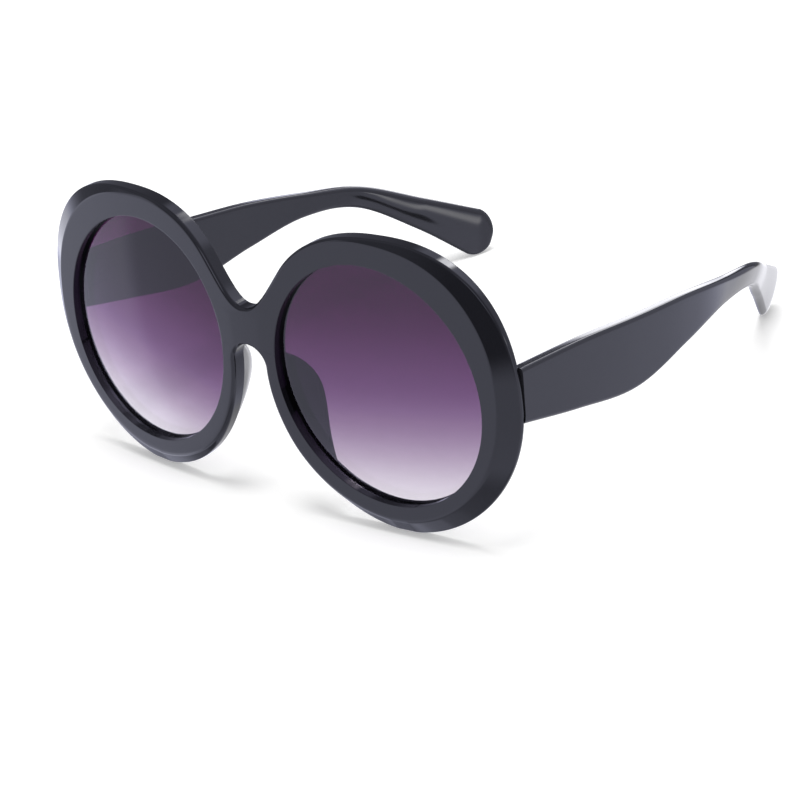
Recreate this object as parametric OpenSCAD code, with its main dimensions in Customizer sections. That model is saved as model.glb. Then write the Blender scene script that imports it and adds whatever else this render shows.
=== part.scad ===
// Oversized round sunglasses: a bevelled front with two lenses, and two temples on three-knuckle hinges.
// They stand as on a table, on the two rims and the two temple tips. +Y runs from the front to the tips,
// and +X is the wearer's left.

/* [Front] */
// Width of one rim
rim_w = 66.9; // [62:0.1:70]
// Height of one rim
rim_h = 73.1; // [68:0.1:80]
// Narrowest gap between the two rims, where the nose goes
nose_gap = 10; // [8:0.1:14]
// Cut that flattens the bottom of each rim, where it rests
rest_cut = 0.15; // [0.05:0.01:0.3]
// How far the middle of a rim lies outboard of its opening's centre
rim_offset = 2.5; // [1.5:0.1:3.5]
// Squareness of the rim's upper half, where 2 is an oval
upper_fullness = 2.4; // [2:0.05:2.8]
// Squareness of the rim's lower half, where 2 is an oval
lower_fullness = 1.88; // [1.8:0.01:2.4]
// Slant of each rim's outline, its top towards the nose
rim_slant = 1; // [0:0.1:3]
// Thickness of the front
front_t = 4; // [3.8:0.1:5]
// Angle by which each rim wraps back round the face
wrap = 5.6; // [2:0.1:8]
// Angle by which the front leans back
front_lean = 0.96; // [0:0.01:2]
// Height of the bridge at its middle
bridge_h = 9.3; // [7:0.1:12]
// Where the saddle on top of the bridge leaves a rim, as an angle round the rim's middle
saddle_turn = 140; // [136:0.5:150]
// Half width of the round bottom of the saddle
saddle_round = 4; // [3:0.1:5]
// Widest stretch of the bevel, at the temple side
bevel_max = 4.1; // [2:0.1:5]
// Narrowest stretch of the bevel, at the nose side
bevel_min = 0.6; // [0.4:0.1:1.2]
// Deepest fall of the bevel, low on the temple side
bevel_deep = 2.6; // [1:0.1:2.8]
// Least fall of the bevel, at the nose side
bevel_shallow = 0.3; // [0.1:0.1:0.8]
// Cut of the small edges of the front
edge_cut = 0.35; // [0.2:0.05:0.5]

/* [Lens openings] */
// Both walls of a rim together, along the longer axis of its oval opening
walls_long = 13.5; // [12:0.1:20]
// Both walls of a rim together, along the shorter axis of its oval opening
walls_short = 12.5; // [11:0.1:18]
// Lean of the longer axis from upright, its top towards the nose
opening_lean = 24; // [0:1:35]
// Height of an opening's centre above the middle of its rim
opening_rise = 0.65; // [0:0.05:1.5]

/* [Lenses] */
// Thickness of a lens
lens_t = 1.6; // [1.2:0.1:1.8]
// How far a lens edge lies behind the front face
lens_inset = 1.6; // [1:0.1:1.8]
// Depth of the groove that holds a lens
groove_d = 0.7; // [0.4:0.1:1]
// Height of the dome of a lens
lens_dome = 2.2; // [1:0.1:3]
// Gap between a lens and its groove
lens_gap = 0.05; // [0.02:0.01:0.1]

/* [Nose pads] */
// How far a pad stands out behind the rim
pad_h = 7.4; // [4:0.1:8]
// Height of the upper end of a pad above the middle of the rim
pad_rise = 3.3; // [0:0.1:4]
// Length of a pad from top to bottom
pad_len = 34; // [24:0.1:36]
// Outward flare of a pad
pad_flare = 25; // [10:1:28]
// Thickness of a pad at its crest
pad_crest = 2; // [1.4:0.1:2.6]

/* [Temples] */
// How far the middle of a temple lies inside the widest place of the rim, at the hinge
temple_in = 1.4; // [0.9:0.05:2.2]
// Height of the middle of a temple above the middle of the rim, at the hinge
temple_rise = 3.3; // [-4:0.1:5]
// Reach of a temple from its butt to the middle of its tip
temple_reach = 139.8; // [125:0.1:150]
// Greatest depth of a temple, seen from the side
temple_deep = 17.8; // [15:0.1:20]
// Depth of a temple tip
tip_deep = 13.6; // [9:0.1:15]
// Inward curl of a temple from its hinge to its tip
temple_curl = 21; // [12:0.1:26]
// Thickness of a temple
temple_t = 3.2; // [3:0.1:4]
// Rounding of the long edges of a temple
temple_edge_r = 1.1; // [0.6:0.1:1.5]
// Gap between a temple's butt and the back of the rim
butt_gap = 0.2; // [0.15:0.05:0.4]
// Radius of the steel wire in a temple
core_r = 0.7; // [0.5:0.05:0.8]
// Gap round the wire
core_gap = 0.05; // [0.03:0.01:0.1]

/* [Hinges] */
// Outer radius of a hinge knuckle
knuckle_r = 1.6; // [1.4:0.05:1.8]
// Height of a front knuckle
front_knuckle_h = 2.6; // [2:0.1:3.2]
// Height of the temple knuckle
temple_knuckle_h = 2.8; // [2:0.1:4]
// Gap between two knuckles
knuckle_gap = 0.1; // [0.05:0.01:0.2]
// Thickness of a hinge leaf
leaf_t = 1; // [0.8:0.05:1.2]
// How deep a leaf is sunk into the plastic
leaf_sink = 0.7; // [0.5:0.05:0.8]
// Gap round a sunk leaf
leaf_gap = 0.05; // [0.03:0.01:0.1]
// Width of the front leaf
front_leaf_w = 4.2; // [4:0.1:4.6]
// Height of the front leaf
front_leaf_h = 14; // [13.4:0.1:16]
// Length of the temple leaf
temple_leaf_len = 9; // [8:0.1:11]
// Height of the temple leaf
temple_leaf_h = 6; // [5:0.1:6.6]
// Radius of the hinge screw
pivot_r = 0.7; // [0.5:0.05:0.8]
// Running gap round the hinge screw
pivot_gap = 0.04; // [0.02:0.01:0.1]
// Radius of the hinge screw's head
pivot_head_r = 1.2; // [1.1:0.05:1.3]
// Height of the hinge screw's head
pivot_head_h = 0.7; // [0.5:0.05:1]
// Radius of a leaf screw
leaf_screw_r = 0.6; // [0.5:0.05:0.65]
// Radius of a leaf screw's head
leaf_screw_head_r = 1.05; // [0.9:0.05:1.1]
// Height of a leaf screw's countersunk head
leaf_screw_head_h = 0.5; // [0.4:0.05:0.55]
// Length of a leaf screw
leaf_screw_len = 2.6; // [2.2:0.1:2.8]

/* [Hidden] */

// Smoothness of the round pieces
round_fn = 48;
// Overrun of a cut past the face that it opens
over = 0.1;

// Plain maths
function power(v, n) = sign(v) * pow(abs(v), n);
function unit(v) = v / norm(v);
function lerp(a, b, s) = a + (b - a) * s;
function flat(lists) = [for (l = lists) each l];
function ease(v, ends) =
    let (s = min(max((v - ends[0]) / (ends[1] - ends[0]), 0), 1))
    s * s * (3 - 2 * s);

// Half sizes and middle of one rim's outline, and the middle of its opening
half_w = rim_w / 2;
half_h = rim_h / 2;
rim_x = half_w + nose_gap / 2;
mid_z = rim_h / 2 - rest_cut;
eye_x = rim_x - rim_offset;
eye_z = mid_z + opening_rise;
opening_long = rim_h - walls_long;
opening_short = rim_w - walls_short;

// The arch under the bridge meets both rims where they come closest
arch_r = nose_gap / 2;
bridge_low = mid_z + arch_r;
bridge_top = bridge_low + bridge_h;

// A rim's outer outline at the angle t, as [x, z]
function fullness(t) = sin(t) >= 0 ? upper_fullness : lower_fullness;
slant_slope = tan(rim_slant);
function rim_height(t) = max(mid_z + half_h * power(sin(t), 2 / fullness(t)), 0);
function rim_at(t) = [
    rim_x + half_w * power(cos(t), 2 / fullness(t)) - slant_slope * (rim_height(t) - mid_z),
    rim_height(t),
];

// The saddle leaves each rim along its tangent, and bends round to run level across the middle of the bridge.
// Its first handle ends a share of the way to where that tangent meets the level of the bridge's top.
saddle_share = 0.55;
turn_look = 0.25;
saddle_start = rim_at(saddle_turn);
saddle_way = rim_at(saddle_turn + turn_look) - rim_at(saddle_turn - turn_look);
saddle_bend = saddle_start + saddle_way * (bridge_top - saddle_start[1]) / saddle_way[1];
saddle_stop = [0, bridge_top];
saddle_handles = [lerp(saddle_start, saddle_bend, saddle_share), saddle_stop + [saddle_round, 0]];
function saddle_at(s) = saddle_start * pow(1 - s, 3) + saddle_handles[0] * 3 * s * pow(1 - s, 2)
    + saddle_handles[1] * 3 * pow(s, 2) * (1 - s) + saddle_stop * pow(s, 3);

// Steps round the rim, along the saddle, down the middle of the bridge and round the arch
rim_steps = 82;
saddle_steps = 7;
seam_steps = 4;
arch_steps = 6;

// The outer outline of the left half, from the narrowest place of the nose gap round the rim and over the
// bridge
rim_turns = [for (i = [0:rim_steps]) lerp(180, 360 + saddle_turn, i / rim_steps)];
arch_turns = [for (i = [0:arch_steps - 1]) lerp(90, 0, i / arch_steps)];
rim_part = [for (t = rim_turns) rim_at(t)];
saddle_part = [for (i = [1:saddle_steps]) saddle_at(i / saddle_steps)];
seam_part = [for (i = [1:seam_steps - 1]) [0, lerp(bridge_top, bridge_low, i / seam_steps)]];
arch_part = [for (a = arch_turns) [a == 90 ? 0 : arch_r * cos(a), mid_z + arch_r * sin(a)]];
outer = concat(rim_part, saddle_part, seam_part, arch_part);
seam_from = rim_steps + saddle_steps;
seam_to = seam_from + seam_steps;
stations = len(outer);

// Outward direction of the outline: across the two neighbours on the rim, and known on the bridge's middle
function on_seam(i) = i > seam_from && i < seam_to;
function across(i) = unit([
    outer[(i + 1) % stations][1] - outer[(i + stations - 1) % stations][1],
    outer[(i + stations - 1) % stations][0] - outer[(i + 1) % stations][0],
]);
function outward(i) =
    i == seam_from ? [0, 1]
    : i == seam_to ? [0, -1]
    : on_seam(i) ? [-1, 0]
    : across(i);

// The opening is a leaning oval, met in the direction of each station
function opening_at(a) =
    let (b = a - 90 - opening_lean)
    opening_long * opening_short / 2
        / sqrt(pow(opening_short * cos(b), 2) + pow(opening_long * sin(b), 2));
eye = [eye_x, eye_z];
station_angles = [for (p = outer) atan2(p[1] - eye_z, p[0] - eye_x)];
function eye_point(i, r) = eye + r * [cos(station_angles[i]), sin(station_angles[i])];
function opening_r(i) = opening_at(station_angles[i]);

// The bevel is widest at the temple side, a little below the middle, and it falls most below that
bevel_w_turn = 20;
bevel_w_shares = [0.2, 0.8];
bevel_fall_turn = 42;
bevel_fall_shares = [0.1, 1];
function side_share(a) = (1 + cos(a)) / 2;
function bevel_w(i) = on_seam(i) ? 0
    : lerp(bevel_min, bevel_max, ease(side_share(station_angles[i] + bevel_w_turn), bevel_w_shares));
function bevel_fall(i) =
    let (s = side_share(station_angles[i] + bevel_fall_turn))
    lerp(bevel_shallow, bevel_deep, ease(s, bevel_fall_shares));

// Front face: flat across the middle of the bridge, bent round to the two wrapped rims, and leaning back
wrap_slope = tan(wrap);
lean_slope = tan(front_lean);
bend_in = arch_r * 0.4;
bend_out = arch_r * 0.95;
function face_y(x) = wrap_slope * (
    abs(x) <= bend_in ? 0
    : abs(x) < bend_out ? pow(abs(x) - bend_in, 2) / 2 / (bend_out - bend_in)
    : abs(x) - (bend_in + bend_out) / 2);
function back_y(x, z) = face_y(x) + lean_slope * z + front_t;
function place3(p, depth) = [p[0], face_y(p[0]) + lean_slope * p[1] + depth, p[1]];

// Groove in the rim's inner wall
groove_from = lens_inset - lens_gap;
groove_to = lens_inset + lens_t + lens_gap;

// One section of the front, from the inner front edge through the groove and round the back to the bevel.
// On the bridge's middle line the outer points stand on the line itself.
function front_section(i) =
    let (
        r = opening_r(i),
        o = outer[i],
        n = outward(i),
        seam = on_seam(i),
        w = bevel_w(i),
        fall = bevel_fall(i)
    )
    [
        place3(eye_point(i, r + edge_cut), 0),
        place3(eye_point(i, r), edge_cut),
        place3(eye_point(i, r), groove_from),
        place3(eye_point(i, r + groove_d), groove_from),
        place3(eye_point(i, r + groove_d), groove_to),
        place3(eye_point(i, r), groove_to),
        place3(eye_point(i, r), front_t - edge_cut / 2),
        place3(eye_point(i, r + edge_cut / 2), front_t),
        place3(seam ? o : o - n * edge_cut, front_t),
        place3(o, front_t - (seam ? front_t / 3 : edge_cut)),
        place3(o, seam ? front_t / 3 : edge_cut + fall),
        place3(seam ? o : o - n * w, 0),
    ];
section_points = 12;
outer_from = 8;

front_half = flat([for (i = [0:stations - 1]) front_section(i)]);
half_count = len(front_half);

// Both halves share the points on the bridge's middle line
function half_index(i, j) = (i % stations) * section_points + j % section_points;
function mirror_index(k) = front_half[k][0] == 0 ? k : k + half_count;
function inside_bridge(i, j) = i >= seam_from && i < seam_to && j >= outer_from && j < section_points - 1;
half_faces = [for (i = [0:stations - 1], j = [0:section_points - 1]) if (!inside_bridge(i, j))
    [half_index(i, j), half_index(i, j + 1), half_index(i + 1, j + 1), half_index(i + 1, j)]];
function fan3(f) = [[f[0], f[1], f[2]], [f[0], f[2], f[3]]];
function mirrored(f) = [for (k = [len(f) - 1:-1:0]) mirror_index(f[k])];
front_faces = flat([for (f = half_faces) each [fan3(f), [for (g = fan3(f)) mirrored(g)]]]);

// Lens rings: the edge in the groove, a flat ledge just inside the lip, then the dome
ledge_w = 0.25;
dome_shares = [0.8, 0.55, 0.28];
function lens_edge_r(i) = opening_r(i) + groove_d - lens_gap;
function ledge_r(i) = opening_r(i) - ledge_w;
function dome_depth(share) = lens_inset - lens_dome * (1 - share * share);
function lens_side(extra) = concat(
    [for (i = [0:stations - 1]) place3(eye_point(i, lens_edge_r(i)), lens_inset + extra)],
    [for (i = [0:stations - 1]) place3(eye_point(i, ledge_r(i)), lens_inset + extra)],
    flat([for (s = dome_shares) [for (i = [0:stations - 1])
        place3(eye_point(i, ledge_r(i) * s), dome_depth(s) + extra)]]),
    [place3(eye, dome_depth(0) + extra)]
);
lens_rings = 2 + len(dome_shares);
lens_count = stations * lens_rings + 1;
function lens_index(k, i) = k * stations + i % stations;
lens_skin = concat(
    flat([for (k = [0:lens_rings - 2], i = [0:stations - 1]) fan3([
        lens_index(k, i), lens_index(k, i + 1), lens_index(k + 1, i + 1), lens_index(k + 1, i)])]),
    [for (i = [0:stations - 1])
        [lens_index(lens_rings - 1, i), lens_index(lens_rings - 1, i + 1), lens_count - 1]]
);
lens_faces = concat(
    lens_skin,
    [for (f = lens_skin) [f[2] + lens_count, f[1] + lens_count, f[0] + lens_count]],
    flat([for (i = [0:stations - 1]) fan3([
        lens_index(0, i + 1), lens_index(0, i),
        lens_index(0, i) + lens_count, lens_index(0, i + 1) + lens_count])])
);

// Nose pad: a flared fin along the nose side of the rim. Its stand-out rises quickly from the top and fades
// below.
pad_steps = 16;
pad_peak = 0.7;
pad_top = mid_z + pad_rise;
pad_margin = 0.4;
function pad_stand(s) = pad_h * sin(180 * pow(s, pad_peak));
function rim_side(share, n) = half_w * pow(1 - pow(share, n), 1 / n);
function rim_edge_x(z) = rim_x - slant_slope * (z - mid_z)
    - rim_side(abs(z - mid_z) / half_h, z >= mid_z ? upper_fullness : lower_fullness);
function pad_section(k) =
    let (
        s = lerp(0.02, 0.98, k / pad_steps),
        z = pad_top - pad_len * s,
        base = [rim_edge_x(z), z],
        in = unit(eye - base),
        ring = norm(eye - base) - opening_at(atan2(z - eye_z, base[0] - eye_x)),
        stand = pad_stand(s),
        lean = tan(pad_flare) * stand,
        crest = pad_crest / 2 * min(1, stand / pad_crest),
        near = base + in * (edge_cut + pad_margin / 2),
        far = base + in * (ring - pad_margin)
    )
    [
        place3(near, front_t),
        place3(near + in * lean * 0.4, front_t + stand * 0.5),
        place3(near + in * (lean * 0.86), front_t + stand - crest * 0.9),
        place3(near + in * (lean + crest * 0.35), front_t + stand - crest * 0.2),
        place3(near + in * (lean + crest), front_t + stand),
        place3(near + in * (lean + crest * 1.7), front_t + stand - crest * 0.35),
        place3(near + in * (lean + crest * 2), front_t + stand - crest * 1.1),
        place3(lerp(far, near + in * (lean + crest * 2), 0.45), front_t + stand * 0.4),
        place3(far, front_t),
    ];
pad_sides = 9;
pad_points = flat([for (k = [0:pad_steps]) pad_section(k)]);
function loop_skin(rings, sides) = flat([for (k = [0:rings - 2], j = [0:sides - 1]) fan3([
    k * sides + j, k * sides + (j + 1) % sides, (k + 1) * sides + (j + 1) % sides, (k + 1) * sides + j])]);
function loop_cap(first, sides, turn) = turn
    ? [for (j = [1:sides - 2]) [first, first + j, first + j + 1]]
    : [for (j = [1:sides - 2]) [first, first + j + 1, first + j]];
pad_faces = concat(
    loop_skin(pad_steps + 1, pad_sides),
    loop_cap(0, pad_sides, false),
    loop_cap(pad_steps * pad_sides, pad_sides, true)
);

// Temple line from butt to tip: places along the reach, fall towards the table, inward curl and depth
reach_shares = [0, 0.16, 0.318, 0.475, 0.626, 0.768, 0.889, 1];
fall_shares = [0, 0.113, 0.226, 0.243, 0.281, 0.399, 0.691, 1];
curl_shares = [0, -0.02, -0.017, 0.024, 0.119, 0.3, 0.669, 1];
deep_shares = [0.755, 0.938, 1, 0.716, 0.39, 0.344];
ear_share = 0.66;
temple_x = rim_x + half_w - temple_in;
temple_z = mid_z + temple_rise;
butt_y = back_y(temple_x, temple_z) + butt_gap;
tip_z = tip_deep / 2;
spans = len(reach_shares) - 1;
function deep_at(k) =
    k < len(deep_shares) ? temple_deep * deep_shares[k]
    : k == spans ? tip_deep
    : tip_deep * ear_share;
temple_knots = [for (k = [0:spans]) [
    temple_x - temple_curl * curl_shares[k],
    butt_y + temple_reach * reach_shares[k],
    lerp(temple_z, tip_z, fall_shares[k]),
    deep_at(k) / 2,
]];

// A smooth line through the knots, with its ends run on straight
function knot(k) = k < 0 ? 2 * temple_knots[0] - temple_knots[1]
    : k > spans ? 2 * temple_knots[spans] - temple_knots[spans - 1]
    : temple_knots[k];
function spline(a, b, c, d, s) =
    (2 * b + (c - a) * s + (2 * a - 5 * b + 4 * c - d) * s * s + (3 * b - a - 3 * c + d) * s * s * s) / 2;
function temple_line(u) =
    let (k = min(floor(u), spans - 1))
    spline(knot(k - 1), knot(k), knot(k + 1), knot(k + 2), u - k);
look = 0.02;
function temple_way(u) =
    let (a = temple_line(max(u - look, 0)), b = temple_line(min(u + look, spans)))
    unit([b[0] - a[0], b[1] - a[1], b[2] - a[2]]);
function temple_up(u) = let (w = temple_way(u)) unit([0, -w[2], w[1]]);
function temple_out(u) = let (w = temple_way(u)) unit([w[1], -w[0], 0]);
function spot(u) = let (p = temple_line(u)) [p[0], p[1], p[2]];

// A rounded section, as [thickness, depth] places
corner_turns = [0, 30, 60, 90];
function rounded(a, b) =
    let (r = min(temple_edge_r, a * 0.9, b * 0.9))
    [for (q = [[1, 1, 0], [-1, 1, 90], [-1, -1, 180], [1, -1, 270]], t = corner_turns)
        [q[0] * (a - r) + r * cos(q[2] + t), q[1] * (b - r) + r * sin(q[2] + t)]];
temple_sides = 4 * len(corner_turns);

// The first ring is cut to the back of the rim, and the last ones close round the tip
temple_steps = 42;
tip_turns = [20, 38, 54, 68, 80];
tip_thinning = 0.45;
function ring3(centre, u, places) = [for (p = places) centre + temple_out(u) * p[0] + temple_up(u) * p[1]];
function temple_ring(k) =
    let (
        u = spans * k / temple_steps,
        ring = ring3(spot(u), u, rounded(temple_t / 2, temple_line(u)[3]))
    )
    k > 0 ? ring : [for (p = ring) [p[0], back_y(p[0], p[2]) + butt_gap, p[2]]];
function tip_ring(t) = ring3(
    spot(spans) + temple_way(spans) * tip_deep / 2 * sin(t), spans,
    rounded(temple_t / 2 * (1 - tip_thinning * pow(sin(t), 2)), tip_deep / 2 * cos(t)));
temple_skin = concat(
    flat([for (k = [0:temple_steps]) temple_ring(k)]),
    flat([for (t = tip_turns) tip_ring(t)])
);
temple_rings = temple_steps + 1 + len(tip_turns);

// Wire and its channel, from the butt to short of the tip: they pass under the hinge leaf, then rise to the
// middle
core_sides = 8;
core_low_shares = [0.66, 0.1];
core_rise_shares = [0.13, 0.5];
core_end_share = 0.93;
core_steps = 34;
core_start_share = 0.012;
core_stop_share = 0.999;
function core_low(u) = lerp(core_low_shares[0], core_low_shares[1], ease(u / spans, core_rise_shares));
function core_spot(u) = spot(u) - temple_up(u) * core_low(u) * temple_line(u)[3];
function core_ring(u, r) = [for (j = [0:core_sides - 1])
    let (a = 360 * j / core_sides) core_spot(u) + r * (temple_out(u) * cos(a) + temple_up(u) * sin(a))];
function core_us(from, to) = [for (k = [0:core_steps])
    spans * core_end_share * (k == 0 ? from : k == core_steps ? to : k / core_steps)];
channel_rings = [for (u = core_us(0, 1)) core_ring(u, core_r + core_gap)];
channel_points = concat(
    [for (p = channel_rings[0]) [p[0], back_y(p[0], p[2]) + butt_gap, p[2]]],
    flat([for (k = [1:core_steps]) channel_rings[k]])
);
core_points = flat([for (u = core_us(core_start_share, core_stop_share)) core_ring(u, core_r)]);
core_faces = concat(
    loop_skin(core_steps + 1, core_sides),
    loop_cap(0, core_sides, false),
    loop_cap(core_steps * core_sides, core_sides, true)
);

// The temple's skin, its closed tip, the channel's wall and blind end, and the butt's face round the channel
channel_first = len(temple_skin);
function shifted(faces, by) = [for (f = faces) [f[2] + by, f[1] + by, f[0] + by]];
function butt_outer(j) = j % temple_sides;
function butt_inner(j) = channel_first + j % core_sides;
temple_faces = concat(
    loop_skin(temple_rings, temple_sides),
    loop_cap((temple_rings - 1) * temple_sides, temple_sides, true),
    shifted(loop_skin(core_steps + 1, core_sides), channel_first),
    shifted(loop_cap(core_steps * core_sides, core_sides, true), channel_first),
    flat([for (j = [0:core_sides - 1]) [
        [butt_outer(2 * j + 1), butt_outer(2 * j), butt_inner(j)],
        [butt_outer(2 * j + 2), butt_outer(2 * j + 1), butt_inner(j + 1)],
        [butt_outer(2 * j + 1), butt_inner(j), butt_inner(j + 1)],
    ]])
);

// The middle of the whole depth
middle_y = (max([for (p = temple_skin) p[1]]) + min([for (p = front_half) p[1]])) / 2;

// Hinge axis, beside the temple's inner face and behind the front leaf
leaf_proud = leaf_t - leaf_sink;
temple_face_x = temple_x - temple_t / 2;
knuckle_bite = 0.3;
knuckle_clear = 0.3;
hinge_x = temple_face_x - leaf_proud - knuckle_r + knuckle_bite;
hinge_z = temple_z;
hinge_back = back_y(hinge_x, hinge_z);
hinge_y = hinge_back + leaf_proud + knuckle_r + 1.5 * knuckle_clear;
hinge_half = temple_knuckle_h / 2 + knuckle_gap + front_knuckle_h;
relief_r = knuckle_r + knuckle_clear;
bore_r = pivot_r + pivot_gap;

// Front leaf: its edge nearest the temple stays clear of the relief in the temple
front_leaf_x = temple_face_x - knuckle_clear * 2 - front_leaf_w / 2;
front_screw_z = front_leaf_h / 2 - leaf_screw_head_r - 0.3;
temple_leaf_from = knuckle_r + 0.1;
temple_screw_in = 2.2;
web_share = 0.86;
web_len = hinge_y - hinge_back - leaf_proud + leaf_t / 2;
web_edge = front_leaf_x + front_leaf_w / 2 - leaf_gap - hinge_x;

module in_place() { translate([0, -middle_y, 0]) children(); }
module on_side(side) { in_place() mirror([side < 0 ? 1 : 0, 0, 0]) children(); }
module at_hinge() { translate([hinge_x, hinge_y, hinge_z]) children(); }
module on_rim_back() {
    translate([front_leaf_x, back_y(front_leaf_x, hinge_z), hinge_z]) rotate([0, 0, wrap]) children();
}

// A countersunk screw or its hole: the face of the head is at the origin and the shank points along -Y
module leaf_screw_form(gap, length) {
    r = leaf_screw_r + gap;
    rotate([90, 0, 0]) {
        cylinder(r = r, h = length, $fn = round_fn);
        cylinder(r1 = leaf_screw_head_r + gap, r2 = r, h = leaf_screw_head_h, $fn = round_fn);
    }
}
module leaf_screw() {
    difference() {
        leaf_screw_form(0, leaf_screw_len);
        // Driver slot
        cube([2 * leaf_screw_head_r, leaf_screw_head_h / 2, leaf_screw_r / 2], center = true);
    }
}
module leaf_hole() {
    leaf_screw_form(leaf_gap, leaf_t + over);
    rotate([-90, 0, 0]) cylinder(r = leaf_screw_head_r + leaf_gap, h = over, $fn = round_fn);
}
module pilot_hole() {
    translate([0, leaf_proud - leaf_sink / 2, 0]) rotate([90, 0, 0])
        cylinder(r = leaf_screw_r + leaf_gap, h = leaf_screw_len - leaf_sink / 2 + over, $fn = round_fn);
}

// Places of the screws on each leaf
module on_front_screws() { on_rim_back() for (s = [-1, 1]) translate([0, 0, s * front_screw_z]) children(); }
module on_temple_screws() {
    for (y = [temple_leaf_from + temple_screw_in, temple_leaf_from + temple_leaf_len - temple_screw_in])
        translate([temple_face_x, hinge_y + y, hinge_z]) rotate([0, 0, 90]) children();
}

module front_leaf_plate(gap, from) {
    translate([-front_leaf_w / 2 - gap, -leaf_sink - gap, -front_leaf_h / 2 - gap])
        cube([front_leaf_w + 2 * gap, from + leaf_sink + gap, front_leaf_h + 2 * gap]);
}

module front_frame() {
    color("#26262b") in_place() difference() {
        polyhedron(concat(front_half, [for (p = front_half) [-p[0], p[1], p[2]]]), front_faces);
        for (side = [1, -1]) mirror([side < 0 ? 1 : 0, 0, 0]) {
            on_rim_back() front_leaf_plate(leaf_gap, over);
            on_front_screws() pilot_hole();
        }
    }
}

module lens(side) {
    color("#6b4a78", 0.6) on_side(side) polyhedron(concat(lens_side(0), lens_side(lens_t)), lens_faces);
}

module nose_pad(side) {
    color("#303036") on_side(side) polyhedron(pad_points, pad_faces);
}

module temple(side) {
    color("#2b2b30") on_side(side) difference() {
        polyhedron(concat(temple_skin, channel_points), temple_faces);
        // Room for the knuckles
        at_hinge()
            cylinder(r = relief_r, h = 2 * (hinge_half + knuckle_clear), center = true, $fn = round_fn);
        // Seat of the leaf, open towards the butt
        translate([temple_face_x - temple_t, hinge_back - front_t, hinge_z - temple_leaf_h / 2 - leaf_gap])
            cube([
                temple_t + leaf_sink + leaf_gap,
                hinge_y + temple_leaf_from + temple_leaf_len + leaf_gap - hinge_back + front_t,
                temple_leaf_h + 2 * leaf_gap,
            ]);
        on_temple_screws() pilot_hole();
    }
}

module temple_core(side) {
    color("silver") on_side(side) polyhedron(core_points, core_faces);
}

module hinge_front_leaf(side) {
    color("gainsboro") on_side(side) difference() {
        union() {
            on_rim_back() front_leaf_plate(0, leaf_proud);
            for (s = [-1, 1]) at_hinge() translate([0, 0, s * (hinge_half - front_knuckle_h / 2)]) {
                cylinder(r = knuckle_r, h = front_knuckle_h, center = true, $fn = round_fn);
                // Web from the knuckle to the leaf, kept within the leaf's outer edge
                translate([-knuckle_r * web_share, -web_len, -front_knuckle_h / 2])
                    cube([knuckle_r * web_share + web_edge, web_len, front_knuckle_h]);
            }
        }
        at_hinge() {
            cylinder(r = bore_r, h = 2 * (hinge_half + over), center = true, $fn = round_fn);
            // Seat of the screw's head
            translate([0, 0, hinge_half - pivot_head_h + over])
                cylinder(r = pivot_head_r + pivot_gap, h = pivot_head_h, $fn = round_fn);
        }
        on_front_screws() translate([0, leaf_proud, 0]) leaf_hole();
    }
}

module hinge_temple_leaf(side) {
    color("gainsboro") on_side(side) difference() {
        union() {
            translate([temple_face_x - leaf_proud, hinge_y + temple_leaf_from, hinge_z - temple_leaf_h / 2])
                cube([leaf_t, temple_leaf_len, temple_leaf_h]);
            at_hinge() {
                cylinder(r = knuckle_r, h = temple_knuckle_h, center = true, $fn = round_fn);
                translate([0, -knuckle_r * web_share, -temple_knuckle_h / 2])
                    cube([
                        temple_face_x - hinge_x + leaf_sink,
                        knuckle_r * web_share + temple_leaf_from + over,
                        temple_knuckle_h,
                    ]);
            }
        }
        at_hinge()
            cylinder(r = bore_r, h = temple_knuckle_h + 2 * over, center = true, $fn = round_fn);
        on_temple_screws() translate([0, leaf_proud, 0]) leaf_hole();
    }
}

module hinge_screw(side) {
    color("silver") on_side(side) at_hinge() difference() {
        union() {
            translate([0, 0, -hinge_half]) cylinder(r = pivot_r, h = 2 * hinge_half, $fn = round_fn);
            translate([0, 0, hinge_half - pivot_head_h + over + pivot_gap])
                cylinder(r = pivot_head_r, h = pivot_head_h, $fn = round_fn);
        }
        // Driver slot
        translate([0, 0, hinge_half + over + pivot_gap])
            cube([2 * pivot_head_r + over, pivot_r / 2, pivot_head_h], center = true);
    }
}

module front_leaf_screws(side) {
    color("silver") on_side(side) on_front_screws() translate([0, leaf_proud, 0]) leaf_screw();
}

module temple_leaf_screws(side) {
    color("silver") on_side(side) on_temple_screws() translate([0, leaf_proud, 0]) leaf_screw();
}

front_frame();
lens(1);  // lens_left
lens(-1);  // lens_right
nose_pad(1);  // nose_pad_left
nose_pad(-1);  // nose_pad_right
temple(1);  // temple_left
temple(-1);  // temple_right
temple_core(1);  // temple_core_left
temple_core(-1);  // temple_core_right
hinge_front_leaf(1);  // hinge_front_leaf_left
hinge_front_leaf(-1);  // hinge_front_leaf_right
hinge_temple_leaf(1);  // hinge_temple_leaf_left
hinge_temple_leaf(-1);  // hinge_temple_leaf_right
hinge_screw(1);  // hinge_screw_left
hinge_screw(-1);  // hinge_screw_right
front_leaf_screws(1);  // front_leaf_screws_left
front_leaf_screws(-1);  // front_leaf_screws_right
temple_leaf_screws(1);  // temple_leaf_screws_left
temple_leaf_screws(-1);  // temple_leaf_screws_right
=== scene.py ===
# %% [markdown]
# # Oversized round sunglasses
#
# Glasses of this kind have one moulded plastic front with two large rims, two dyed lenses, two nose pads,
# and two broad temples that fold on small steel hinges. They could be modelled by hand, from circles and
# boxes with Bevel and Subdivision modifiers. Here the packed CAD model gives every piece its place, and
# each glossy piece gets a dense, smooth surface worked out with numpy, because polished plastic shows every
# facet in its reflections. The steel pieces keep their CAD shape and get a finish of their own.

import math

import bpy
import numpy as np
from mathutils import Matrix


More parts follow.
